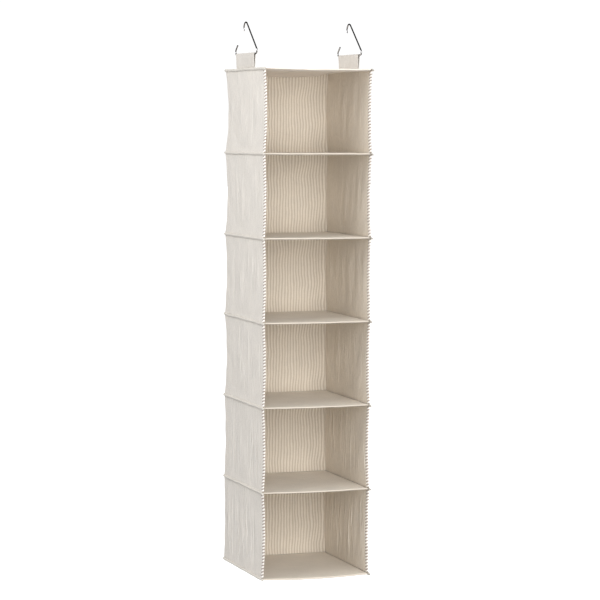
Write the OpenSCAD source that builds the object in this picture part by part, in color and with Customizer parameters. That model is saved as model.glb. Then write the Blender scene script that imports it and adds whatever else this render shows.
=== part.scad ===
// Hanging canvas shoe organizer: six open compartments under a closet rod.
// Millimetres, +Z up, front towards -Y.
// The origin is on the closet rod's axis, midway between the two hooks.

/* [Organizer] */
// Width of every shelf, side wall to side wall
shelf_w = 272; // [240:1:320]
// Depth of every shelf, front edge to back wall
shelf_d = 300; // [260:1:340]
// Height of one compartment, shelf to shelf
pitch = 203; // [160:1:230]

/* [Shelves] */
// Thickness of the fibreboard inside a shelf
board_t = 3; // [2:0.5:4]
// Thickness of the canvas sleeve around a board
sleeve_t = 1; // [0.8:0.1:1.2]
// Width of the sewn margin around a board
sleeve_margin = 4; // [2:0.5:8]

/* [Walls] */
// Thickness of the canvas walls
wall_t = 1.2; // [0.8:0.1:1.6]
// Gap between a wall's lower edge and the shelf that closes it
wall_gap = 0.3; // [0.2:0.1:0.5]

/* [Bindings] */
// How far the seam binding stands out of the walls
seam_out = 5; // [3:0.5:7]
// Height of the seam binding
seam_h = 4.6; // [3:0.2:4.8]
// Length of the seam binding's loose end in front of the walls
seam_tail = 6; // [3:1:10]
// Width of the tape folded over a wall's front edge
tape_w = 9; // [7:1:14]
// Thickness of that tape with the wall inside it
tape_t = 3.4; // [2.8:0.2:4.6]

/* [Hanging loops] */
// Width of a hanging loop, front to back
loop_w = 134; // [100:1:136]
// Height of the hook's crossbar above the top panel
loop_h = 34.5; // [25:0.5:50]
// Thickness of the loop's canvas
loop_t = 1; // [0.8:0.1:1.4]

/* [Hooks] */
// Diameter of the closet rod that the hooks fit
rod_d = 25; // [20:1:32]
// Diameter of the hook wire
wire_d = 3.5; // [3:0.1:5]
// Depth of the crossbar below the rod's axis
bar_drop = 63; // [55:1:75]
// Lean of the hook's leg from the vertical
leg_lean = 49.5; // [45:0.5:51]
// Bend radius at both ends of the crossbar, to the wire's centre
bend_r = 7; // [5:0.5:8]
// How far the crossbar runs straight behind the rod's axis
bar_rear = 70; // [69:1:76]
// Length of the straight stub at the crossbar's rear end
stub_l = 16; // [8:1:22]
// How far the crook passes behind the rod, below its axis
crook_wrap = 25; // [10:5:45]

/* [Hidden] */
$fn = 48;
LEVELS = 6;
shelf_t = board_t + 2 * sleeve_t;
half_w = shelf_w / 2;
half_d = shelf_d / 2;
top_z = -bar_drop - loop_h - shelf_t / 2;
rod_clearance = 0.25;
loop_clearance = 0.3;
crook_r = (rod_d + wire_d) / 2 + rod_clearance;
loop_x = half_w - 2;
loop_base = 3;
loop_slit = 0.6;
shoulder_share = 0.985;
board_fit = 0.1;

canvas = [0.87, 0.84, 0.79];
canvas_shade = [0.80, 0.76, 0.70];
sleeve_canvas = [0.78, 0.73, 0.66];
binding_cloth = [0.90, 0.88, 0.83];
fibreboard = [0.55, 0.42, 0.29];
steel = [0.45, 0.45, 0.47];

// Height of the middle of a shelf; level 0 is the top panel, the last is the base
function level_z(level) = top_z - level * pitch;

// A compartment's walls stand on the shelf below and hang from the one above
function wall_bottom(compartment) = level_z(compartment) + shelf_t / 2 + wall_gap;
function wall_height() = pitch - shelf_t - wall_gap;

// ---- shelves, top panel and base ----

module board(level) {
    color(fibreboard)
        translate([0, 0, level_z(level)])
            cube([
                shelf_w - 2 * sleeve_margin - 2 * board_fit,
                shelf_d - 2 * sleeve_margin - 2 * board_fit,
                board_t
            ], center = true);
}

module sleeve(level) {
    color(sleeve_canvas)
        translate([0, 0, level_z(level)])
            difference() {
                cube([shelf_w, shelf_d, shelf_t], center = true);
                cube([shelf_w - 2 * sleeve_margin, shelf_d - 2 * sleeve_margin, board_t], center = true);
            }
}

// Binding that wraps the seam of a level: left side, back and right side
module seam_binding(level) {
    color(binding_cloth)
        translate([0, 0, level_z(level) - seam_h / 2])
            linear_extrude(seam_h) {
                for (side = [-1, 1])
                    translate([side * half_w, half_d])
                        circle(seam_out);
                for (side = [-1, 1])
                    translate([side * (half_w + seam_out / 2), -seam_tail / 2])
                        square([seam_out, shelf_d + seam_tail], center = true);
                translate([0, half_d + seam_out / 2])
                    square([shelf_w, seam_out], center = true);
            }
}

// The corner circles of a binding must not reach into the shelf
module clear_seam_binding(level) {
    color(binding_cloth)
        difference() {
            seam_binding(level);
            translate([0, -seam_tail, level_z(level)])
                cube([shelf_w, shelf_d + 2 * seam_tail, shelf_t], center = true);
        }
}

// ---- walls and the tape on their front edges ----

module side_wall(side, compartment) {
    color(side < 0 ? canvas : canvas_shade)
        translate([side * (half_w - wall_t / 2), 0, wall_bottom(compartment) + wall_height() / 2])
            cube([wall_t, shelf_d, wall_height()], center = true);
}

module back_wall(compartment) {
    color(canvas_shade)
        translate([0, half_d - wall_t / 2, wall_bottom(compartment) + wall_height() / 2])
            cube([shelf_w - 2 * wall_t, wall_t, wall_height()], center = true);
}

module edge_tape(side, compartment) {
    lap = (tape_t - wall_t) / 2;
    color(binding_cloth)
        translate([side * (half_w - wall_t / 2), -half_d, wall_bottom(compartment)])
            linear_extrude(wall_height())
                difference() {
                    union() {
                        circle(tape_t / 2);
                        translate([-tape_t / 2, 0])
                            square([tape_t, tape_w - lap]);
                    }
                    translate([-wall_t / 2, 0])
                        square([wall_t, tape_w]);
                }
}

// ---- hanging loops ----

// Solid drop, lying along z: round over the crossbar, with flat sides down to its foot.
// The flat sides start just inside the round and cross it a little lower.
module drop(radius, foot, depth, length) {
    shoulder = radius * shoulder_share;
    cylinder(h = length, r = radius);
    linear_extrude(length)
        polygon([[-shoulder, 0], [shoulder, 0], [foot / 2, -depth], [-foot / 2, -depth]]);
}

module hanging_loop(side) {
    hole_r = wire_d / 2 + loop_clearance;
    overrun = 1;
    color(side < 0 ? canvas : canvas_shade)
        translate([side * loop_x, loop_w / 2, -bar_drop])
            rotate([90, 0, 0])
                difference() {
                    drop(hole_r + loop_t, loop_base, loop_h, loop_w);
                    translate([0, 0, -overrun])
                        drop(hole_r, loop_slit, loop_h - loop_base, loop_w + 2 * overrun);
                }
}

// ---- hooks ----
// A hook is drawn flat, with x towards the back and y up, and then stood in the YZ plane.

module straight_wire(from, to) {
    run = to - from;
    translate(from)
        rotate([0, 90, atan2(run.y, run.x)])
            cylinder(h = norm(run), d = wire_d);
}

module bent_wire(centre, radius, start, sweep) {
    translate(centre)
        rotate([0, 0, start])
            rotate_extrude(angle = sweep)
                translate([radius, 0])
                    circle(d = wire_d);
}

module wire_tip(at) {
    translate(at)
        sphere(d = wire_d);
}

module hook(side) {
    turn = 90 + leg_lean;
    out = [-cos(leg_lean), sin(leg_lean)];
    crook_start = crook_r * out;
    corner_x = crook_start.x - (bar_drop + crook_start.y) * tan(leg_lean);
    front = [corner_x + bend_r * tan(turn / 2), bend_r - bar_drop];
    rear = [bar_rear, bend_r - bar_drop];
    leg_end = front + bend_r * out;
    stub_start = rear + bend_r * [cos(leg_lean), sin(leg_lean)];
    stub_end = stub_start + stub_l * [-sin(leg_lean), cos(leg_lean)];
    crook_tip = crook_r * [cos(crook_wrap), -sin(crook_wrap)];
    color(steel)
        translate([side * loop_x, 0, 0])
            rotate([90, 0, 90]) {
                bent_wire([0, 0], crook_r, -crook_wrap, 180 - leg_lean + crook_wrap);
                straight_wire(crook_start, leg_end);
                bent_wire(front, bend_r, 180 - leg_lean, turn);
                straight_wire([front.x, -bar_drop], [rear.x, -bar_drop]);
                bent_wire(rear, bend_r, -90, turn);
                straight_wire(stub_start, stub_end);
                wire_tip(crook_tip);
                wire_tip(stub_end);
            }
}

hook(-1);  // left_hook
hook(1);  // right_hook
hanging_loop(-1);  // left_hanging_loop
hanging_loop(1);  // right_hanging_loop
board(0);  // top_board
sleeve(0);  // top_sleeve
clear_seam_binding(0);  // top_seam_binding
board(1);  // shelf_board_1
board(2);  // shelf_board_2
board(3);  // shelf_board_3
board(4);  // shelf_board_4
board(5);  // shelf_board_5
sleeve(1);  // shelf_sleeve_1
sleeve(2);  // shelf_sleeve_2
sleeve(3);  // shelf_sleeve_3
sleeve(4);  // shelf_sleeve_4
sleeve(5);  // shelf_sleeve_5
clear_seam_binding(1);  // seam_binding_1
clear_seam_binding(2);  // seam_binding_2
clear_seam_binding(3);  // seam_binding_3
clear_seam_binding(4);  // seam_binding_4
clear_seam_binding(5);  // seam_binding_5
board(LEVELS);  // base_board
sleeve(LEVELS);  // base_sleeve
clear_seam_binding(LEVELS);  // base_seam_binding
side_wall(-1, 1);  // left_wall_1
side_wall(-1, 2);  // left_wall_2
side_wall(-1, 3);  // left_wall_3
side_wall(-1, 4);  // left_wall_4
side_wall(-1, 5);  // left_wall_5
side_wall(-1, 6);  // left_wall_6
side_wall(1, 1);  // right_wall_1
side_wall(1, 2);  // right_wall_2
side_wall(1, 3);  // right_wall_3
side_wall(1, 4);  // right_wall_4
side_wall(1, 5);  // right_wall_5
side_wall(1, 6);  // right_wall_6
back_wall(1);  // back_wall_1
back_wall(2);  // back_wall_2
back_wall(3);  // back_wall_3
back_wall(4);  // back_wall_4
back_wall(5);  // back_wall_5
back_wall(6);  // back_wall_6
edge_tape(-1, 1);  // left_edge_tape_1
edge_tape(-1, 2);  // left_edge_tape_2
edge_tape(-1, 3);  // left_edge_tape_3
edge_tape(-1, 4);  // left_edge_tape_4
edge_tape(-1, 5);  // left_edge_tape_5
edge_tape(-1, 6);  // left_edge_tape_6
edge_tape(1, 1);  // right_edge_tape_1
edge_tape(1, 2);  // right_edge_tape_2
edge_tape(1, 3);  // right_edge_tape_3
edge_tape(1, 4);  // right_edge_tape_4
edge_tape(1, 5);  // right_edge_tape_5
edge_tape(1, 6);  // right_edge_tape_6
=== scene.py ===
"""Looks of a hanging canvas shoe organizer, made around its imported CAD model.

Metres, +Z up, front towards -Y, origin on the closet rod's axis. Every cloth piece is a thin closed
sheet. The compartments' walls are simulated as cloth, sewn along the seams and the front edges.
"""

import math

import bpy
import numpy as np
from mathutils import Matrix, Vector


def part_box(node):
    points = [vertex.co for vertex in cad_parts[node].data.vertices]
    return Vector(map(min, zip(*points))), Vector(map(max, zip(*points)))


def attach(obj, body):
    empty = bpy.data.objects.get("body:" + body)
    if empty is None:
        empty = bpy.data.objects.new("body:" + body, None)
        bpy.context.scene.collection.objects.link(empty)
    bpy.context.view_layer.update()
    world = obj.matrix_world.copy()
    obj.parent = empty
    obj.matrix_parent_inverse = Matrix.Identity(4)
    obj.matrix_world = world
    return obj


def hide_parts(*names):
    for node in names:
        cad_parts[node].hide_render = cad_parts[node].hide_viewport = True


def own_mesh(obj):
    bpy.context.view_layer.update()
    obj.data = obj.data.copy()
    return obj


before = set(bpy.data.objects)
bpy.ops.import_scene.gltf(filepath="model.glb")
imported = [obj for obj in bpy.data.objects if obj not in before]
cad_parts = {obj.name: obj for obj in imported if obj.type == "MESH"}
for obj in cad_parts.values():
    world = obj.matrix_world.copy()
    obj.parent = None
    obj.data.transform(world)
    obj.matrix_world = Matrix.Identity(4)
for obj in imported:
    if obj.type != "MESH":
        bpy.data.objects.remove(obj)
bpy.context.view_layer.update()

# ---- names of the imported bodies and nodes, from the top down ----

SHELVES = range(1, 6)
COMPARTMENTS = range(1, 7)
BODIES = ["top", *(f"shelf_{n}" for n in SHELVES), "base"]
SLEEVES = ["top_sleeve", *(f"shelf_sleeve_{n}" for n in SHELVES), "base_sleeve"]
BOARDS = ["top_board", *(f"shelf_board_{n}" for n in SHELVES), "base_board"]
BINDINGS = ["top_seam_binding", *(f"seam_binding_{n}" for n in SHELVES), "base_seam_binding"]

# ---- places and sizes, from the frame ----

SLEEVE_BOXES = [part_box(node) for node in SLEEVES]
LEVEL_Z = [(lo.z + hi.z) / 2 for lo, hi in SLEEVE_BOXES]
LEFT, FRONT = SLEEVE_BOXES[0][0].x, SLEEVE_BOXES[0][0].y
RIGHT, BACK = SLEEVE_BOXES[0][1].x, SLEEVE_BOXES[0][1].y
SHELF_T = SLEEVE_BOXES[0][1].z - SLEEVE_BOXES[0][0].z
SLEEVE_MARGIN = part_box("top_board")[0].y - FRONT
WIDTH = RIGHT - LEFT
DEPTH = BACK - FRONT
WALL_H = LEVEL_Z[0] - LEVEL_Z[1] - SHELF_T
SEAM_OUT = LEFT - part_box("top_seam_binding")[0].x
SEAM_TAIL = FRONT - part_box("top_seam_binding")[0].y
TAPE_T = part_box("left_edge_tape_1")[1].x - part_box("left_edge_tape_1")[0].x

# ---- cloth ----

WALL_T = 0.0009
TAPE_CLOTH_T = 0.0008
SLEEVE_T = 0.001
LOOP_T = 0.001
BINDING_T = 0.0009
# From one stripe to the next, on the canvas and along the edge tape, which is cut on the cross
STRIPE_PERIOD = 0.0077
TAPE_PERIOD = 0.0072
TAPE_SLANT = math.radians(17)
# From one thread of the weave to the next over one
CANVAS_WEAVE = 0.0011
FINE_WEAVE = 0.0009

# How far each compartment's corners draw in halfway between two seams, from the top compartment down
CORNER_DRAW = [0.0052, 0.0046, 0.0042, 0.0036, 0.0026, 0.0018]
# How deep the upright creases of each compartment's walls are
CREASE = [0.0003, 0.0005, 0.0008, 0.0012, 0.0021, 0.0032]
# How far a wall's taped front edge draws in
FRONT_DRAW = 0.0030
# How far each level bows down in the middle of its front and back edges, from the top panel to the base
FRONT_SAG = [0.0016, 0.0004, 0.0005, 0.0008, 0.0016, 0.0021, 0.0040]
BACK_SAG = [0.0115, 0.0022, 0.0016, 0.0012, 0.0010, 0.0008, 0.0006]
# How far each level has settled as the cloth above it stretched
SETTLE = [0, 0, 0, 0, 0.0005, 0.0025, 0.0080]
# How far each level tilts up towards its back edge
REAR_RISE = [0, 0, 0.0015, 0.0045, 0.0050, 0.0050, 0.0040]
# Radius of each level's front fold
HEM = [0.0010, 0.0010, 0.0010, 0.0010, 0.0010, 0.0010, 0.0019]

# Cells of the simulated cloth along a side wall, along the back wall and down either
SIDE_CELLS = 50
BACK_CELLS = 45
WALL_ROWS = 33
LAST_FRAME = 24

# Points down an edge tape
TAPE_ROWS = 161
# Faces that meet at more than this look like a fold, not a curve
SHARP = math.radians(55)


# ---- meshes ----

def surface_normals(grid):
    """Unit normals of a grid of points, along its first axis crossed with its second."""
    normals = np.cross(np.gradient(grid, axis=0), np.gradient(grid, axis=1))
    return normals / np.linalg.norm(normals, axis=2, keepdims=True)


def grid_faces(rows, columns, first):
    """Quads over a grid whose vertices are numbered from first."""
    index = first + np.arange(rows * columns).reshape(rows, columns)
    corners = (index[:-1, :-1], index[1:, :-1], index[1:, 1:], index[:-1, 1:])
    return np.stack(corners, axis=-1).reshape(-1, 4)


def rim_loop(rows, columns):
    """Vertex numbers once round a grid's edge."""
    index = np.arange(rows * columns).reshape(rows, columns)
    sides = (index[:-1, 0], index[-1, :-1], index[:0:-1, -1], index[0, :0:-1])
    return np.concatenate(sides)


def closed_sheet(grid, uv, thickness, normals=None):
    """Points, quads, UVs and sides (0 front, 1 back) of a sheet of cloth round a grid of points."""
    rows, columns = grid.shape[:2]
    if normals is None:
        normals = surface_normals(grid)
    offset = normals * thickness / 2
    points = np.concatenate([(grid + offset).reshape(-1, 3), (grid - offset).reshape(-1, 3)])
    front = grid_faces(rows, columns, 0)
    back = grid_faces(rows, columns, rows * columns)[:, ::-1]
    rim = rim_loop(rows, columns)
    after = np.roll(rim, -1)
    edge = np.stack([after, rim, rim + rows * columns, after + rows * columns], axis=-1)
    faces = np.concatenate([front, back, edge])
    sides = np.repeat([0, 1, 0], [len(front), len(back), len(edge)])
    flat_uv = uv.reshape(-1, 2)
    return points, faces, np.concatenate([flat_uv, flat_uv]), sides


def stitches(spine, normals, radius=0.00032, length=0.0026, step=0.0036):
    """Points, quads, UVs and sides (2, thread) of a row of stitches lying along a line of points.

    Each stitch is six-sided, swells in its middle and dips into the cloth at both ends.
    """
    run = np.concatenate([[0], np.cumsum(np.linalg.norm(np.diff(spine, axis=0), axis=1))])
    count = int(run[-1] / step)
    middles = (np.arange(count) + 0.5) * run[-1] / count
    rings = np.linspace(-1, 1, 5)
    spokes = np.linspace(0, 2 * math.pi, 6, endpoint=False)
    points, faces = [], []
    for middle in middles:
        centre = np.array([np.interp(middle, run, spine[:, k]) for k in range(3)])
        ahead = np.array([np.interp(middle + length, run, spine[:, k]) for k in range(3)])
        behind = np.array([np.interp(middle - length, run, spine[:, k]) for k in range(3)])
        along = (ahead - behind) / np.linalg.norm(ahead - behind)
        out = np.array([np.interp(middle, run, normals[:, k]) for k in range(3)])
        out -= along * (out @ along)
        out /= np.linalg.norm(out)
        across = np.cross(along, out)
        first = len(points)
        for ring in rings:
            swell = radius * math.sqrt(1.04 - ring ** 2)
            lift = out * radius * (0.6 - 1.1 * ring ** 2)
            for spoke in spokes:
                side = across * math.cos(spoke) + out * math.sin(spoke)
                points.append(centre + along * ring * length / 2 + lift + side * swell)
        around = len(spokes)
        for r in range(len(rings) - 1):
            for s in range(around):
                a, b = first + r * around + s, first + r * around + (s + 1) % around
                faces.append([a, b, b + around, a + around])
        last = first + (len(rings) - 1) * around
        faces += [[first, first + 3, first + 2, first + 1], [first, first + 5, first + 4, first + 3]]
        faces += [[last, last + 1, last + 2, last + 3], [last, last + 3, last + 4, last + 5]]
    points = np.array(points)
    return points, np.array(faces), np.zeros((len(points), 2)), np.full(len(faces), 2)


def joined(*parts):
    """Several (points, faces, UVs, sides) as one."""
    firsts = np.cumsum([0] + [len(part[0]) for part in parts[:-1]])
    points = np.concatenate([part[0] for part in parts])
    faces = np.concatenate([part[1] + first for part, first in zip(parts, firsts)])
    uvs = np.concatenate([part[2] for part in parts])
    sides = np.concatenate([part[3] for part in parts])
    return points, faces, uvs, sides


def piece(name, parts, materials, body, node):
    """A mesh piece that stands for one CAD node and rides on its body."""
    points, faces, uvs, sides = parts
    mesh = bpy.data.meshes.new(name)
    mesh.from_pydata(points.tolist(), [], faces.tolist())
    for material in materials:
        mesh.materials.append(material)
    mesh.polygons.foreach_set("material_index", np.minimum(sides, len(materials) - 1).astype(np.int32))
    layer = mesh.uv_layers.new(name="cloth")
    layer.data.foreach_set("uv", uvs[faces.reshape(-1)].astype(np.float32).reshape(-1))
    mesh.shade_smooth()
    mesh.set_sharp_from_angle(angle=SHARP)
    mesh.update()
    obj = bpy.data.objects.new(name, mesh)
    bpy.context.scene.collection.objects.link(obj)
    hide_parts(node)
    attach(obj, body)
    return obj


def refined(grid):
    """A grid with a point added between every two, on a smooth curve through them."""
    for axis in (0, 1):
        g = np.moveaxis(grid, axis, 0)
        before = np.concatenate([2 * g[:1] - g[1:2], g[:-2]])
        after = np.concatenate([g[2:], 2 * g[-1:] - g[-2:-1]])
        between = (9 * (g[:-1] + g[1:]) - before - after) / 16
        fine = np.empty((2 * len(g) - 1, *g.shape[1:]))
        fine[::2] = g
        fine[1::2] = between
        grid = np.moveaxis(fine, 0, axis)
    return grid


def ripples(seed, u, v, size, count=9):
    """Soft seeded noise from -1 to 1 over cloth coordinates, with lumps of about the given size."""
    draw = np.random.default_rng(seed)
    angles = draw.uniform(0, 2 * math.pi, count)
    rates = 2 * math.pi / (size * draw.uniform(0.7, 1.6, count))
    phases = draw.uniform(0, 2 * math.pi, count)
    waves = [
        np.sin(rate * (u * math.cos(angle) + v * math.sin(angle)) + phase)
        for angle, rate, phase in zip(angles, rates, phases)
    ]
    return sum(waves) / math.sqrt(count)


# ---- materials ----

class Nodes:
    """A material's node tree, with short calls for the nodes that these materials use."""

    def __init__(self, name):
        self.material = bpy.data.materials.new(name)
        self.material.use_nodes = True
        self.tree = self.material.node_tree
        self.shader = self.tree.nodes["Principled BSDF"]

    def add(self, kind, **values):
        node = self.tree.nodes.new(kind)
        for key, value in values.items():
            setattr(node, key, value)
        return node

    def fill(self, socket, value):
        if isinstance(value, bpy.types.NodeSocket):
            self.tree.links.new(value, socket)
        else:
            socket.default_value = value

    def maths(self, operation, a, b=0.0, clamp=False):
        node = self.add("ShaderNodeMath", operation=operation, use_clamp=clamp)
        self.fill(node.inputs[0], a)
        self.fill(node.inputs[1], b)
        return node.outputs[0]

    def scaled(self, value, low, high, to_low, to_high):
        node = self.add("ShaderNodeMapRange", interpolation_type="SMOOTHSTEP")
        for socket, number in zip(node.inputs, (value, low, high, to_low, to_high)):
            self.fill(socket, number)
        return node.outputs[0]

    def noise(self, vector, scale, detail=3.0, roughness=0.5):
        node = self.add("ShaderNodeTexNoise")
        self.fill(node.inputs["Vector"], vector)
        self.fill(node.inputs["Scale"], scale)
        self.fill(node.inputs["Detail"], detail)
        self.fill(node.inputs["Roughness"], roughness)
        return node.outputs["Fac"]

    def vector(self, x, y, z=0.0):
        node = self.add("ShaderNodeCombineXYZ")
        for socket, value in zip(node.inputs, (x, y, z)):
            self.fill(socket, value)
        return node.outputs[0]

    def mixed(self, share, a, b):
        node = self.add("ShaderNodeMix", data_type="RGBA")
        self.fill(node.inputs["Factor"], share)
        self.fill(node.inputs[6], a)
        self.fill(node.inputs[7], b)
        return node.outputs[2]

    def bump(self, height, distance, strength=1.0, normal=None):
        node = self.add("ShaderNodeBump")
        self.fill(node.inputs["Height"], height)
        self.fill(node.inputs["Distance"], distance)
        self.fill(node.inputs["Strength"], strength)
        if normal is not None:
            self.fill(node.inputs["Normal"], normal)
        return node.outputs[0]

    def cloth_uv(self):
        uv = self.add("ShaderNodeUVMap", uv_map="cloth").outputs[0]
        parts = self.add("ShaderNodeSeparateXYZ")
        self.fill(parts.inputs[0], uv)
        return parts.outputs[0], parts.outputs[1]

    def lets_light_through(self, share, colour):
        """Mixes the surface with light that passes through the cloth from behind it."""
        glow = self.add("ShaderNodeBsdfTranslucent")
        self.fill(glow.inputs["Color"], colour)
        mix = self.add("ShaderNodeMixShader")
        mix.inputs[0].default_value = share
        self.tree.links.new(self.shader.outputs[0], mix.inputs[1])
        self.tree.links.new(glow.outputs[0], mix.inputs[2])
        self.tree.links.new(mix.outputs[0], self.tree.nodes["Material Output"].inputs["Surface"])

    def surface(self, colour, roughness, normal=None, **constants):
        self.fill(self.shader.inputs["Base Color"], colour)
        self.fill(self.shader.inputs["Roughness"], roughness)
        if normal is not None:
            self.fill(self.shader.inputs["Normal"], normal)
        for name, value in constants.items():
            self.shader.inputs[name.replace("_", " ")].default_value = value
        return self.material


def striped_cloth(
    name, light, dark, period, weave_step, light_share=0.5, mottle=0.04, wander=0.0, through=0.0
):
    """Woven cotton whose stripes cross the UV's first axis. light and dark are the stripes' colours.

    light_share is how much of the cloth is light, and mottle how cloudy it is. The cloth is pulled out
    of square here and there, so its stripes wander by a share of their period. through is the share of
    the light that passes from behind.
    """
    n = Nodes(name)
    u, v = n.cloth_uv()
    place = n.vector(u, v)
    drift = n.maths("MULTIPLY", n.maths("SUBTRACT", n.noise(place, 60.0), 0.5), weave_step * 1.2)
    pull = n.maths("MULTIPLY", n.maths("SUBTRACT", n.noise(place, 13.0, 1.0), 0.5), period * wander)
    turn = n.maths("MULTIPLY", n.maths("ADD", n.maths("ADD", u, drift), pull), 2 * math.pi / period)
    edge = math.cos(math.pi * light_share)
    soft = 0.16
    stripe = n.scaled(n.maths("COSINE", turn), edge - soft, edge + soft, 1.0, 0.0)
    warp = n.maths("SINE", n.maths("MULTIPLY", u, 2 * math.pi / weave_step))
    weft = n.maths("SINE", n.maths("MULTIPLY", v, 2 * math.pi / weave_step))
    weave = n.maths("MULTIPLY", warp, weft)
    fine, coarse = 1400.0, 60.0
    slub_u = n.noise(n.vector(n.maths("MULTIPLY", u, fine), n.maths("MULTIPLY", v, coarse)), 1.0, 2.0)
    slub_v = n.noise(n.vector(n.maths("MULTIPLY", u, coarse), n.maths("MULTIPLY", v, fine)), 1.0, 2.0)
    slubs = n.maths("ADD", slub_u, slub_v)
    cloudy = n.noise(place, 14.0, 4.0, 0.6)
    colour = n.mixed(stripe, (*light, 1.0), (*dark, 1.0))
    uneven = n.scaled(slubs, 0.7, 1.3, -0.05, 0.05)
    clouds = n.scaled(cloudy, 0.25, 0.75, -mottle, mottle)
    # Slubs and clouds are the cloth's own uneven tone; the weave term is painted shade, darker where the
    # weave's bump dips and lighter where it rises
    tone_and_painted_weave_shade = n.maths("ADD", n.maths("ADD", uneven, clouds), n.maths("MULTIPLY", weave, 0.035))
    tint = n.add("ShaderNodeHueSaturation")
    n.fill(tint.inputs["Value"], n.maths("ADD", tone_and_painted_weave_shade, 1.0))
    n.fill(tint.inputs["Color"], colour)
    height = n.maths("ADD", n.maths("MULTIPLY", weave, 0.5), n.maths("MULTIPLY", slubs, 0.5))
    normal = n.bump(height, 0.00016, 0.6)
    roughness = n.scaled(slubs, 0.6, 1.4, 0.82, 0.94)
    if through:
        n.lets_light_through(through, tint.outputs[0])
    return n.surface(
        tint.outputs[0], roughness, normal,
        Sheen_Weight=0.18, Sheen_Roughness=0.55, Specular_IOR_Level=0.25,
    )


def thread_material():
    n = Nodes("sewing_thread")
    place = n.add("ShaderNodeTexCoord").outputs["Object"]
    fuzz = n.noise(place, 2400.0, 2.0)
    colour = n.mixed(fuzz, (0.70, 0.66, 0.58, 1.0), (0.86, 0.83, 0.76, 1.0))
    return n.surface(colour, 0.7, n.bump(fuzz, 0.0001, 0.5), Sheen_Weight=0.2)


def fibreboard_material():
    n = Nodes("fibreboard")
    place = n.add("ShaderNodeTexCoord").outputs["Object"]
    fibres = n.noise(place, 900.0, 4.0, 0.7)
    flecks = n.noise(place, 120.0, 3.0, 0.6)
    colour = n.mixed(n.maths("MULTIPLY", fibres, flecks), (0.30, 0.19, 0.10, 1.0), (0.47, 0.33, 0.20, 1.0))
    return n.surface(colour, n.scaled(flecks, 0.3, 0.7, 0.65, 0.85), n.bump(fibres, 0.0002, 0.6))


def chrome_material():
    """Bright drawn wire, with the fine lengthwise wear of a plated hook."""
    n = Nodes("chrome_wire")
    place = n.add("ShaderNodeTexCoord").outputs["Object"]
    wear = n.noise(place, 420.0, 5.0, 0.65)
    haze = n.noise(place, 35.0, 3.0)
    colour = n.mixed(n.scaled(haze, 0.35, 0.7, 0.0, 1.0), (0.60, 0.59, 0.60, 1.0), (0.72, 0.71, 0.71, 1.0))
    roughness = n.scaled(wear, 0.3, 0.8, 0.10, 0.22)
    return n.surface(colour, roughness, n.bump(wear, 0.00003, 0.3), Metallic=1.0)


CREAM = (0.920, 0.890, 0.845)
BEIGE = (0.740, 0.700, 0.645)
# Painted warm shade: the walls' inside faces get warmer, darker copies of CREAM and BEIGE, standing in for
# light that comes through the cloth and the shade inside the compartments
PAINTED_SHADE_INNER_CREAM = (0.910, 0.842, 0.742)
PAINTED_SHADE_INNER_BEIGE = (0.730, 0.648, 0.542)
# Painted shade: the shelves' sleeves get a darker copy of the canvas colours, standing in for the shade
# inside the compartments
PAINTED_SHADE_SHELF_CREAM = (0.735, 0.668, 0.574)
PAINTED_SHADE_SHELF_BEIGE = (0.655, 0.588, 0.494)
# Painted light: the top panel's sleeve gets a lighter copy of the canvas colours, standing in for light on
# its underside
PAINTED_LIGHT_TOP_CREAM = (0.920, 0.845, 0.760)
PAINTED_LIGHT_TOP_BEIGE = (0.850, 0.775, 0.690)
LOOP_CREAM = (0.760, 0.725, 0.680)
LOOP_BROWN = (0.430, 0.385, 0.335)
TAPE_CREAM = (0.92, 0.88, 0.83)
TAPE_BROWN = (0.29, 0.23, 0.18)
BINDING_CREAM = (0.69, 0.655, 0.60)
BINDING_BEIGE = (0.60, 0.56, 0.505)

canvas = striped_cloth(
    "striped_canvas", CREAM, BEIGE, STRIPE_PERIOD, CANVAS_WEAVE, wander=2.0, through=0.22
)
# The walls' inside faces: the canvas with painted warm shade in its colours
canvas_inside_painted_shade = striped_cloth(
    "striped_canvas_inside_painted_shade", PAINTED_SHADE_INNER_CREAM, PAINTED_SHADE_INNER_BEIGE, STRIPE_PERIOD, CANVAS_WEAVE,
    wander=2.0, through=0.22,
)
# Sleeve canvases: a darker copy with painted shade for the shelves, a lighter copy with painted light for
# the top panel
shelf_canvas = striped_cloth("shelf_canvas", PAINTED_SHADE_SHELF_CREAM, PAINTED_SHADE_SHELF_BEIGE, STRIPE_PERIOD, CANVAS_WEAVE)
painted_light_top_canvas = striped_cloth("painted_light_top_canvas", PAINTED_LIGHT_TOP_CREAM, PAINTED_LIGHT_TOP_BEIGE, STRIPE_PERIOD, CANVAS_WEAVE)
loop_canvas = striped_cloth(
    "loop_canvas", LOOP_CREAM, LOOP_BROWN, STRIPE_PERIOD, CANVAS_WEAVE, light_share=0.62
)
tape_cloth = striped_cloth(
    "edge_tape", TAPE_CREAM, TAPE_BROWN, TAPE_PERIOD, FINE_WEAVE, light_share=0.64, mottle=0.02
)
binding_cloth = striped_cloth("seam_binding", BINDING_CREAM, BINDING_BEIGE, STRIPE_PERIOD, FINE_WEAVE)
thread = thread_material()
fibreboard = fibreboard_material()
chrome = chrome_material()


# ---- walls ----

def sag(level, x, y):
    """How far a place on a level lies below where it would if flat: bow and settling, less the tilt."""
    across = np.clip(np.abs(x) / (WIDTH / 2), 0, 1)
    back_share = np.clip((y - FRONT) / DEPTH, 0, 1)
    front = FRONT_SAG[level] * (1 - across ** 2) * (1 - back_share) ** 1.5
    back = BACK_SAG[level] * (1 - across ** 4) * back_share ** 3
    return front + back + SETTLE[level] - REAR_RISE[level] * back_share


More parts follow.
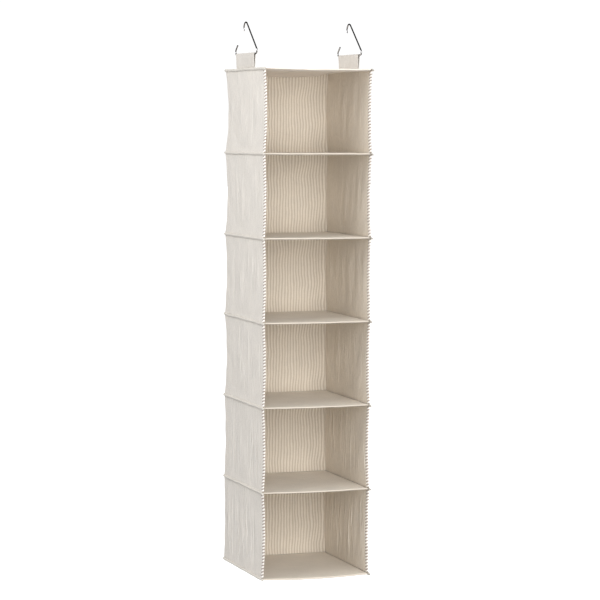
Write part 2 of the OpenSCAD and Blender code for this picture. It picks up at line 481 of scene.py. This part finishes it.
def wall_columns():
    """Points round a compartment seen from above, from its front left edge to its front right edge."""
    half = WALL_T / 2
    side = np.linspace(0, 1, SIDE_CELLS + 1)
    back = np.linspace(0, 1, BACK_CELLS + 1)
    left_x, right_x, back_y = LEFT + half, RIGHT - half, BACK - half
    run = back_y - FRONT
    left = np.stack([np.full(len(side), left_x), FRONT + run * side], axis=1)
    rear = np.stack([left_x + (right_x - left_x) * back, np.full(len(back), back_y)], axis=1)
    right = np.stack([np.full(len(side), right_x), back_y - run * side], axis=1)
    return np.concatenate([left, rear[1:], right[1:]])


# Columns of the walls' cloth at the back corners and the front right edge
CORNER_1 = SIDE_CELLS
CORNER_2 = SIDE_CELLS + BACK_CELLS
LAST = 2 * SIDE_CELLS + BACK_CELLS
PANELS = {"left": (0, CORNER_1), "back": (CORNER_1, CORNER_2), "right": (CORNER_2, LAST)}
columns = wall_columns()
column_u = np.concatenate([[0], np.cumsum(np.linalg.norm(np.diff(columns, axis=0), axis=1))])
row_v = np.linspace(0, WALL_H, WALL_ROWS + 1)


def cut_shape(compartment):
    """The compartment's walls as they were cut: straight, with square corners, to fit its seams."""
    top = LEVEL_Z[compartment - 1] - SHELF_T / 2 - sag(compartment - 1, *columns.T)
    bottom = LEVEL_Z[compartment] + SHELF_T / 2 - sag(compartment, *columns.T)
    share = row_v / WALL_H
    grid = np.empty((LAST + 1, WALL_ROWS + 1, 3))
    grid[:, :, :2] = columns[:, None, :]
    grid[:, :, 2] = np.outer(top, 1 - share) + np.outer(bottom, share)
    return grid


def drawn_shape(compartment):
    """The same walls drawn in between their seams, with the start of some folds."""
    grid = cut_shape(compartment)
    draw = np.random.default_rng(100 + compartment)
    bow = 4 * (row_v / WALL_H) * (1 - row_v / WALL_H)
    moved = {}
    for column, x_share, y_share in ((0, 1, 0), (CORNER_1, 1, -1), (CORNER_2, -1, -1), (LAST, -1, 0)):
        depth = FRONT_DRAW if y_share == 0 else CORNER_DRAW[compartment - 1]
        depth *= draw.uniform(0.8, 1.2)
        lean = 1 + draw.uniform(-0.35, 0.35) * (row_v / WALL_H - 0.5)
        waver = 0.0004 * np.sin(2 * math.pi * (row_v / draw.uniform(0.05, 0.09) + draw.uniform()))
        amount = depth * bow * lean + waver * np.sqrt(bow)
        moved[column] = np.stack([x_share * amount, y_share * amount * draw.uniform(0.7, 1.0)], axis=1)
    stops = sorted(moved)
    for first, last in zip(stops, stops[1:]):
        share = np.linspace(0, 1, last - first + 1)[:, None, None]
        grid[first:last + 1, :, :2] += (1 - share) * moved[first] + share * moved[last]
        if first != 0:
            grid[first, :, :2] -= moved[first]
    normals = surface_normals(grid)
    u, v = np.meshgrid(column_u, row_v, indexing="ij")
    folds = np.zeros_like(u)
    for wavelength in draw.uniform(0.035, 0.11, 6):
        slope = draw.uniform(-0.15, 0.15)
        folds += np.sin(2 * math.pi * ((u + slope * v) / wavelength + draw.uniform()))
    free = np.ones(LAST + 1)
    for column in stops:
        free *= 1 - np.exp(-((column_u - column_u[column]) / 0.02) ** 2)
    fold_depth = 0.0004
    grid += normals * (fold_depth * folds * bow * free[:, None])[:, :, None]
    return grid


def sewn(shape):
    """True for the points of a compartment's walls that a seam or the stiff edge tape holds."""
    held = np.zeros(shape, bool)
    held[:, [0, -1]] = True
    held[[0, CORNER_1, CORNER_2, LAST], :] = True
    return held


def simulated(starts, cuts):
    """The walls of all compartments after hanging as cloth, each from its start shape.

    The cloth is held along its seams and edges, and rests at the size that it was cut to.
    """
    count = starts[0].shape[0] * starts[0].shape[1]
    points = np.concatenate([start.reshape(-1, 3) for start in starts])
    faces = np.concatenate([grid_faces(*starts[0].shape[:2], n * count) for n in range(len(starts))])
    mesh = bpy.data.meshes.new("hanging_walls")
    mesh.from_pydata(points.tolist(), [], faces.tolist())
    obj = bpy.data.objects.new("hanging_walls", mesh)
    bpy.context.scene.collection.objects.link(obj)
    obj.shape_key_add(name="Basis")
    cut = obj.shape_key_add(name="cut")
    flat = np.concatenate([shape.reshape(-1, 3) for shape in cuts])
    cut.data.foreach_set("co", flat.astype(np.float32).reshape(-1))
    seam = obj.vertex_groups.new(name="seam")
    held = np.flatnonzero(np.tile(sewn(starts[0].shape[:2]).reshape(-1), len(starts)))
    seam.add(held.tolist(), 1.0, "REPLACE")
    cloth = obj.modifiers.new("cloth", "CLOTH")
    cloth.settings.vertex_group_mass = "seam"
    cloth.settings.rest_shape_key = cut
    cloth.settings.quality = 7
    cloth.settings.mass = 0.02
    cloth.settings.air_damping = 4.0
    cloth.settings.tension_stiffness = 30
    cloth.settings.compression_stiffness = 30
    cloth.settings.shear_stiffness = 12
    cloth.settings.bending_stiffness = 0.6
    cloth.collision_settings.use_collision = False
    cloth.point_cache.frame_start = 1
    cloth.point_cache.frame_end = LAST_FRAME
    for step in range(1, LAST_FRAME + 1):
        bpy.context.scene.frame_set(step)
    graph = bpy.context.evaluated_depsgraph_get()
    result = obj.evaluated_get(graph).to_mesh()
    co = np.empty(len(points) * 3, np.float32)
    result.vertices.foreach_get("co", co)
    obj.evaluated_get(graph).to_mesh_clear()
    bpy.data.objects.remove(obj)
    bpy.data.meshes.remove(mesh)
    bpy.context.scene.frame_set(1)
    parts = np.split(co.astype(float).reshape(-1, 3), len(starts))
    return [part.reshape(starts[0].shape) for part in parts]


def capped(grid, start, limit=0.007):
    """grid, with no point further than limit from where it started."""
    move = grid - start
    size = np.linalg.norm(move, axis=2, keepdims=True)
    return start + move * np.minimum(1, limit / np.maximum(size, 1e-9))


def tucks(seed, u, v, apart=0.016):
    """Small gathers that run a little way into a wall from its upper and lower seams."""
    draw = np.random.default_rng(seed)
    depth = np.zeros_like(u)
    start = u.min()
    span = u.max() - start
    for from_seam, strength in ((v, 1.0), (WALL_H - v, 0.7)):
        for _ in range(int(span / apart)):
            centre = start + draw.uniform(0.03, 0.97) * span
            width = draw.uniform(0.003, 0.007)
            reach = draw.uniform(0.008, 0.030)
            lean = draw.uniform(-0.3, 0.3)
            size = strength * draw.uniform(-0.0009, 0.0012)
            ridge = np.exp(-((u - centre - lean * from_seam) / width) ** 2)
            fade = np.exp(-from_seam / reach) * (1 - np.exp(-from_seam / 0.003))
            depth += size * ridge * fade
    return depth


def creases(seed, u, v, size, apart=0.011):
    """Soft narrow creases that run up and down a wall, each over part of its height."""
    draw = np.random.default_rng(seed)
    depth = np.zeros_like(u)
    start = u.min()
    span = u.max() - start
    for _ in range(int(span / apart)):
        centre = start + draw.uniform(0.02, 0.98) * span
        width = draw.uniform(0.0026, 0.0052)
        lean = draw.uniform(-0.06, 0.06)
        waver = 0.0016 * np.sin(2 * math.pi * (v / draw.uniform(0.07, 0.16) + draw.uniform()))
        middle = draw.uniform(0.25, 0.85) * WALL_H
        reach = draw.uniform(0.04, 0.11)
        along = np.exp(-((v - middle) / reach) ** 2)
        ridge = np.exp(-((u - centre - lean * (v - middle) - waver) / width) ** 2)
        depth += size * draw.uniform(-1.0, 0.8) * ridge * along
    return depth * np.sqrt(np.clip(np.sin(math.pi * v / WALL_H), 0, 1))


starts = [drawn_shape(compartment) for compartment in COMPARTMENTS]
hung = starts
hung = simulated(starts, [cut_shape(compartment) for compartment in COMPARTMENTS])
hung = [capped(grid, start) for grid, start in zip(hung, starts)]


def fold_with(obj):
    """Gives obj its own copy of its mesh.

    A wall is longer where the level below it has settled further.
    """
    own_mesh(obj)


def corner_normals(grid, panel, whole):
    """Normals of one wall, turned at its corner columns so that two walls' thicknesses meet."""
    normals = surface_normals(grid)
    near = 4
    for end, column in ((0, panel[0]), (-1, panel[1])):
        if column in (CORNER_1, CORNER_2):
            before = surface_normals(refined(whole[column - near:column + 1]))[-1]
            after = surface_normals(refined(whole[column:column + near + 1]))[0]
            middle = (before + after) / 2
            normals[end] = middle / (middle ** 2).sum(axis=1, keepdims=True)
    return normals


def wall(compartment, name, panel, whole):
    """Makes one wall's sheet of cloth, and gives the grid that its edge tape follows."""
    first, last = panel
    grid = refined(whole[first:last + 1])
    u, v = np.meshgrid(column_u[first:last + 1], row_v, indexing="ij")
    uv = refined(np.stack([u, v], axis=-1))
    seed = 1000 * compartment + first
    away = np.ones(len(grid))
    fine_u = uv[:, 0, 0]
    for edge_u in (fine_u[0], fine_u[-1]):
        away *= 1 - np.exp(-((fine_u - edge_u) / 0.012) ** 2)
    relief = tucks(seed, uv[..., 0], uv[..., 1])
    relief += creases(seed + 500, uv[..., 0], uv[..., 1], CREASE[compartment - 1])
    grid += surface_normals(grid) * (relief * away[:, None])[..., None]
    sheet = closed_sheet(grid, uv, WALL_T, corner_normals(grid, panel, whole))
    own_name = f"{name}_canvas_wall_{compartment}"
    node = f"{name}_wall_{compartment}"
    body = BODIES[compartment - 1]
    # One face of the wall takes the plain canvas, the other the copy with painted warm shade
    obj = piece(own_name, sheet, [canvas, canvas_inside_painted_shade], body, node)
    fold_with(obj)
    return grid


# ---- tape on the front edges ----

def edge_tape(compartment, name, grid):
    """A strip folded over a wall's front edge and sewn down on both faces. grid starts at that edge."""
    inner = TAPE_T / 2 - TAPE_CLOTH_T / 2
    rows = np.linspace(0, 1, TAPE_ROWS)
    own_rows = np.linspace(0, 1, grid.shape[1])
    wall_normals = surface_normals(grid)

    def at_rows(line):
        return np.stack([np.interp(rows, own_rows, line[:, k]) for k in range(3)], axis=1)

    laps = [at_rows(line) for line in grid[:4]]
    out = at_rows(wall_normals[0])
    out /= np.linalg.norm(out, axis=1, keepdims=True)
    ahead = laps[0] - laps[1]
    ahead /= np.linalg.norm(ahead, axis=1, keepdims=True)
    section = [laps[3] + out * inner, laps[2] + out * inner, laps[1] + out * inner]
    for turn in np.linspace(0, math.pi, 9):
        section.append(laps[0] + out * inner * math.cos(turn) + ahead * inner * math.sin(turn))
    section += [laps[1] - out * inner, laps[2] - out * inner, laps[3] - out * inner]
    strip = np.stack(section)
    middle = strip[:, TAPE_ROWS // 2]
    across = np.concatenate([[0], np.cumsum(np.linalg.norm(np.diff(middle, axis=0), axis=1))])
    s, z = np.meshgrid(across, rows * WALL_H, indexing="ij")
    slanted = z * math.cos(TAPE_SLANT) + s * math.sin(TAPE_SLANT)
    normals = surface_normals(strip)
    relief = 0.00022 * np.cos(2 * math.pi * slanted / TAPE_PERIOD)
    relief += 0.00012 * ripples(compartment * 7 + len(name), s, z, 0.012)
    strip += normals * relief[..., None]
    uv = np.stack([slanted, s * math.cos(TAPE_SLANT) - z * math.sin(TAPE_SLANT)], axis=-1)
    face = normals * TAPE_CLOTH_T / 2
    seams = [stitches((strip + face)[line], normals[line]) for line in (1, -2)]
    parts = joined(closed_sheet(strip, uv, TAPE_CLOTH_T), *seams)
    materials = [tape_cloth, tape_cloth, thread]
    body = BODIES[compartment - 1]
    node = f"{name}_edge_tape_{compartment}"
    obj = piece(f"{name}_tape_{compartment}", parts, materials, body, node)
    fold_with(obj)


for compartment in COMPARTMENTS:
    whole = hung[compartment - 1]
    fine = {name: wall(compartment, name, panel, whole) for name, panel in PANELS.items()}
    edge_tape(compartment, "left", fine["left"])
    edge_tape(compartment, "right", fine["right"][::-1])


# ---- shelves ----

def shelf_sleeve(level):
    """Canvas folded round the board at the front and sewn into the seam at the sides and back."""
    half = (SHELF_T - SLEEVE_T) / 2
    hem = HEM[level]
    margin = WALL_T + 0.0002
    rim = margin + (SLEEVE_MARGIN - margin) * np.linspace(0, 1, 6)[:-1]
    onwards = np.linspace(BACK - SLEEVE_MARGIN, FRONT + hem + SLEEVE_T / 2, 64)
    depths = np.concatenate([BACK - rim, onwards])
    turns = np.linspace(0, math.pi, 9)[1:-1]
    taper = np.clip((depths - depths[-1]) / (2 * SLEEVE_MARGIN), 0, 1)
    under = half - 2 * hem - (2 * half - 2 * hem) * taper ** 0.7
    y = np.concatenate([depths, depths[-1] - hem * np.sin(turns), depths[::-1]])
    z = np.concatenate([np.full(len(depths), half), half - hem + hem * np.cos(turns), under[::-1]])
    run = np.concatenate([[0], np.cumsum(np.hypot(np.diff(y), np.diff(z)))])
    inner = np.linspace(LEFT + SLEEVE_MARGIN, RIGHT - SLEEVE_MARGIN, 55)
    x = np.concatenate([LEFT + rim, inner, RIGHT - rim[::-1]])
    gx, gy = np.meshgrid(x, y, indexing="ij")
    from_seam = np.minimum(np.minimum(gx - LEFT, RIGHT - gx), BACK - gy)
    sewn_share = np.clip(1 - from_seam / SLEEVE_MARGIN, 0, 1) ** 2
    upper_share = np.clip((z + half) / (2 * half), 0, 1)
    # The upper layer dips to the seam, deeper on a shelf than on the top panel
    rim_z = -0.8 * half if level else 0.4 * half
    gz = z - sewn_share * upper_share * (z - rim_z) + LEVEL_Z[level] - sag(level, gx, gy)
    grid = np.stack([gx, gy, gz], axis=-1)
    grid[..., 2] += 0.00022 * ripples(50 + level, gx, gy * np.sign(z) + 0.3, 0.05)
    gu, gv = np.meshgrid(x - LEFT, run, indexing="ij")
    uv = np.stack([gv, gu], axis=-1)
    parts = closed_sheet(grid[:, ::-1], uv[:, ::-1], SLEEVE_T)
    # Painted shade on the shelves' sleeves, painted light on the top panel's sleeve
    cloth = shelf_canvas if level else painted_light_top_canvas
    obj = piece(SLEEVES[level] + "_cloth", parts, [cloth], BODIES[level], SLEEVES[level])


def shelf_board(level):
    """The stiffener, bowed with its sleeve, its edges a little rounded."""
    lo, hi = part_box(BOARDS[level])
    half = (hi.z - lo.z) / 2
    soft = 0.0006
    x = np.concatenate([[lo.x], np.linspace(lo.x + soft, hi.x - soft, 30), [hi.x]])
    y = np.concatenate([[lo.y], np.linspace(lo.y + soft, hi.y - soft, 30), [hi.y]])
    gx, gy = np.meshgrid(x, y, indexing="ij")
    at_edge = (gx == x[0]) | (gx == x[-1]) | (gy == y[0]) | (gy == y[-1])
    thick = np.where(at_edge, half - soft, half)
    middle = LEVEL_Z[level] - sag(level, gx, gy)
    grid = np.stack([gx, gy, middle], axis=-1)
    up = np.zeros_like(grid)
    up[..., 2] = thick / half
    uv = np.stack([gx, gy], axis=-1)
    clear_of_sleeve = 0.98
    parts = closed_sheet(grid, uv, 2 * half * clear_of_sleeve, up)
    piece(BOARDS[level] + "_panel", parts, [fibreboard], BODIES[level], BOARDS[level])


def seam_path(step=0.004):
    """Points, outward directions and run of a level's seam, with its loose ends in front."""
    radius = 0.004
    points, outs = [], []
    count = int((DEPTH + SEAM_TAIL) / step)
    for y in np.linspace(FRONT - SEAM_TAIL, BACK - radius, count, endpoint=False):
        points.append((LEFT, y))
        outs.append((-1, 0))
    for turn in np.linspace(0, math.pi / 2, 7):
        out = (-math.cos(turn), math.sin(turn))
        points.append((LEFT + radius + out[0] * radius, BACK - radius + out[1] * radius))
        outs.append(out)
    count = int((WIDTH / 2 - radius) / step)
    for x in np.linspace(LEFT + radius, 0, count, endpoint=False)[1:]:
        points.append((x, BACK))
        outs.append((0, 1))
    points = np.array(points + [(0, BACK)] + [(-x, y) for x, y in reversed(points)])
    outs = np.array(outs + [(0, 1)] + [(-x, y) for x, y in reversed(outs)], float)
    run = np.concatenate([[0], np.cumsum(np.linalg.norm(np.diff(points, axis=0), axis=1))])
    return points, outs, run


def seam_binding(level):
    """A strip folded over the raw edges of a level's seam, as a soft rounded ridge round three sides."""
    points, outs, run = seam_path()
    turns = np.linspace(-math.pi / 2, math.pi / 2, 13)
    reach = SEAM_OUT - BINDING_T / 2
    tall = 0.0026
    u, turn = np.meshgrid(run, turns, indexing="ij")
    loose = np.minimum(run, run[-1] - run)
    tail = np.clip(1 - loose / SEAM_TAIL, 0, 1)
    draw = np.random.default_rng(300 + level)
    full = 1 + 0.07 * ripples(310 + level, u, turn * 0.003, 0.03)
    out = reach * np.cos(turn) ** 0.8 * full
    up = -tall * np.sin(turn) * (1 - 0.45 * tail[:, None]) * full
    bend = np.where(run < run[-1] / 2, draw.uniform(0.6, 1.2), draw.uniform(0.6, 1.2))
    dip = sag(level, points[:, 0], points[:, 1])
    z = LEVEL_Z[level] - dip[:, None] + up + 0.0004 * ripples(320 + level, u, 0 * u, 0.06)
    tail_drop = 0.0022
    z -= tail_drop * (bend * tail ** 2)[:, None]
    grid = np.empty((*u.shape, 3))
    inset = 0.0003
    grid[..., :2] = points[:, None, :] + outs[:, None, :] * (out - inset)[..., None]
    grid[..., 2] = z
    uv = np.stack([u, turn * 0.004], axis=-1)
    normals = surface_normals(grid)
    face = normals * BINDING_T / 2
    seams = [stitches((grid + face)[:, line], normals[:, line]) for line in (2, -3)]
    parts = joined(closed_sheet(grid, uv, BINDING_T), *seams)
    name = BINDINGS[level] + "_strip"
    materials = [binding_cloth, binding_cloth, thread]
    obj = piece(name, parts, materials, BODIES[level], BINDINGS[level])


for level in range(len(BODIES)):
    shelf_sleeve(level)
    shelf_board(level)
    seam_binding(level)


# ---- hanging loops ----

def hanging_loop(name):
    """A band over the hook's crossbar, its two layers coming together down to the seam."""
    node = f"{name}_hanging_loop"
    lo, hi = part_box(node)
    centre_x = (lo.x + hi.x) / 2
    radius = (hi.x - lo.x - LOOP_T) / 2
    axis_z = hi.z - radius - LOOP_T / 2
    foot_z = lo.z
    foot_gap = 0.0008
    side = np.linspace(0, 1, 14)[:-1]
    x_up = -(foot_gap + (radius - foot_gap) * side ** 0.8)
    z_up = foot_z + (axis_z - foot_z) * side
    turns = np.linspace(0, math.pi, 15)
    x = np.concatenate([x_up, -radius * np.cos(turns), -x_up[::-1]])
    z = np.concatenate([z_up, axis_z + radius * np.sin(turns), z_up[::-1]])
    run = np.concatenate([[0], np.cumsum(np.hypot(np.diff(x), np.diff(z)))])
    y = np.linspace(lo.y, hi.y, 60)[::-1]
    gy, gx = np.meshgrid(y, x, indexing="ij")
    gz = np.broadcast_to(z, gx.shape)
    u, v = np.meshgrid(y - lo.y, run, indexing="ij")
    layer_h = axis_z - foot_z
    free = np.sin(math.pi * np.clip(v / layer_h, 0, 1))
    free += np.sin(math.pi * np.clip((run[-1] - v) / layer_h, 0, 1))
    gx = centre_x + gx + 0.0004 * ripples(len(name), u, 0 * v, 0.035) * free
    flare = 1 + 0.012 * np.sin(math.pi * v / run[-1])
    middle_y = (lo.y + hi.y) / 2
    grid = np.stack([gx, middle_y + (gy - middle_y) * flare, gz], axis=-1)
    normals = surface_normals(grid)
    uv = np.stack([u, v], axis=-1)
    face = normals * LOOP_T / 2
    seams = [stitches((grid + face)[:, line], normals[:, line]) for line in (2, -3)]
    parts = joined(closed_sheet(grid, uv, LOOP_T), *seams)
    materials = [loop_canvas, loop_canvas, thread]
    obj = piece(f"{name}_loop_band", parts, materials, BODIES[0], node)


for name in ("left", "right"):
    hanging_loop(name)
    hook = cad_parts[f"{name}_hook"]
    hook.data.materials.clear()
    hook.data.materials.append(chrome)


# ---- stage, light and camera ----

def stage_material():
    n = Nodes("studio_floor")
    place = n.add("ShaderNodeTexCoord").outputs["Object"]
    cloudy = n.noise(place, 0.8)
    n.shader.inputs["Emission Color"].default_value = (1.0, 1.0, 1.0, 1.0)
    n.shader.inputs["Emission Strength"].default_value = 0.75
    return n.surface(n.mixed(cloudy, (0.90, 0.90, 0.90, 1.0), (0.93, 0.93, 0.93, 1.0)), 0.9)


def studio_floor(drop=0.5, reach=60.0):
    mesh = bpy.data.meshes.new("studio_floor")
    z = LEVEL_Z[-1] - drop
    corners = [(-reach, -reach, z), (reach, -reach, z), (reach, reach, z), (-reach, reach, z)]
    mesh.from_pydata(corners, [], [(0, 1, 2, 3)])
    mesh.materials.append(stage_material())
    floor = bpy.data.objects.new("studio_floor", mesh)
    bpy.context.scene.collection.objects.link(floor)
    floor.visible_glossy = False
    floor.visible_diffuse = False


def soft_light(name, place, aim, size, power):
    data = bpy.data.lights.new(name, "AREA")
    data.shape = "DISK"
    data.size = size
    data.energy = power
    light = bpy.data.objects.new(name, data)
    light.location = place
    light.rotation_euler = (Vector(aim) - Vector(place)).to_track_quat("-Z", "Y").to_euler()
    bpy.context.scene.collection.objects.link(light)


def white_world(ambient=0.65, reflected=0.04, seen_directly=1.05):
    """White behind everything, a softer white as ambient light, and a dim room in the chrome."""
    world = bpy.data.worlds.new("studio")
    world.use_nodes = True
    tree = world.node_tree
    path = tree.nodes.new("ShaderNodeLightPath")
    background = tree.nodes["Background"]
    background.inputs["Color"].default_value = (1.0, 1.0, 1.0, 1.0)
    glossy = tree.nodes.new("ShaderNodeMix")
    glossy.inputs[2].default_value = ambient
    glossy.inputs[3].default_value = reflected
    seen = tree.nodes.new("ShaderNodeMix")
    seen.inputs[3].default_value = seen_directly
    tree.links.new(path.outputs["Is Glossy Ray"], glossy.inputs[0])
    tree.links.new(path.outputs["Is Camera Ray"], seen.inputs[0])
    tree.links.new(glossy.outputs[0], seen.inputs[2])
    tree.links.new(seen.outputs[0], background.inputs["Strength"])
    bpy.context.scene.world = world


def photo_camera():
    """The photograph's view: from the front left, a little above the middle, through a long lens."""
    yaw, pitch, roll = math.radians(19.77), math.radians(-3.88), math.radians(0.33)
    distance, aside, height = 6.185, 0.0089, -0.6635
    forward = Vector((
        math.sin(yaw) * math.cos(pitch), math.cos(yaw) * math.cos(pitch), math.sin(pitch)
    ))
    right = Vector((math.cos(yaw), -math.sin(yaw), 0))
    up = right.cross(forward)
    aim = aside * right + Vector((0, 0, height))
    x_axis = right * math.cos(roll) + up * math.sin(roll)
    y_axis = up * math.cos(roll) - right * math.sin(roll)
    data = bpy.data.cameras.new("camera")
    data.sensor_width = 36
    data.lens = 150.7
    data.clip_end = 200
    camera = bpy.data.objects.new("camera", data)
    turn = Matrix((x_axis, y_axis, -forward)).transposed().to_4x4()
    camera.matrix_world = Matrix.Translation(aim - forward * distance) @ turn
    bpy.context.scene.collection.objects.link(camera)
    bpy.context.scene.camera = camera


TOP_SHELF = (0, 0, LEVEL_Z[1])
studio_floor()
white_world()
soft_light("key_left", (-1.7, -0.55, 0.75), TOP_SHELF, size=1.1, power=19)
soft_light("fill_front", (-0.6, -4.2, 0.1), TOP_SHELF, size=3.4, power=132)
photo_camera()
bpy.context.scene.view_settings.view_transform = "Standard"
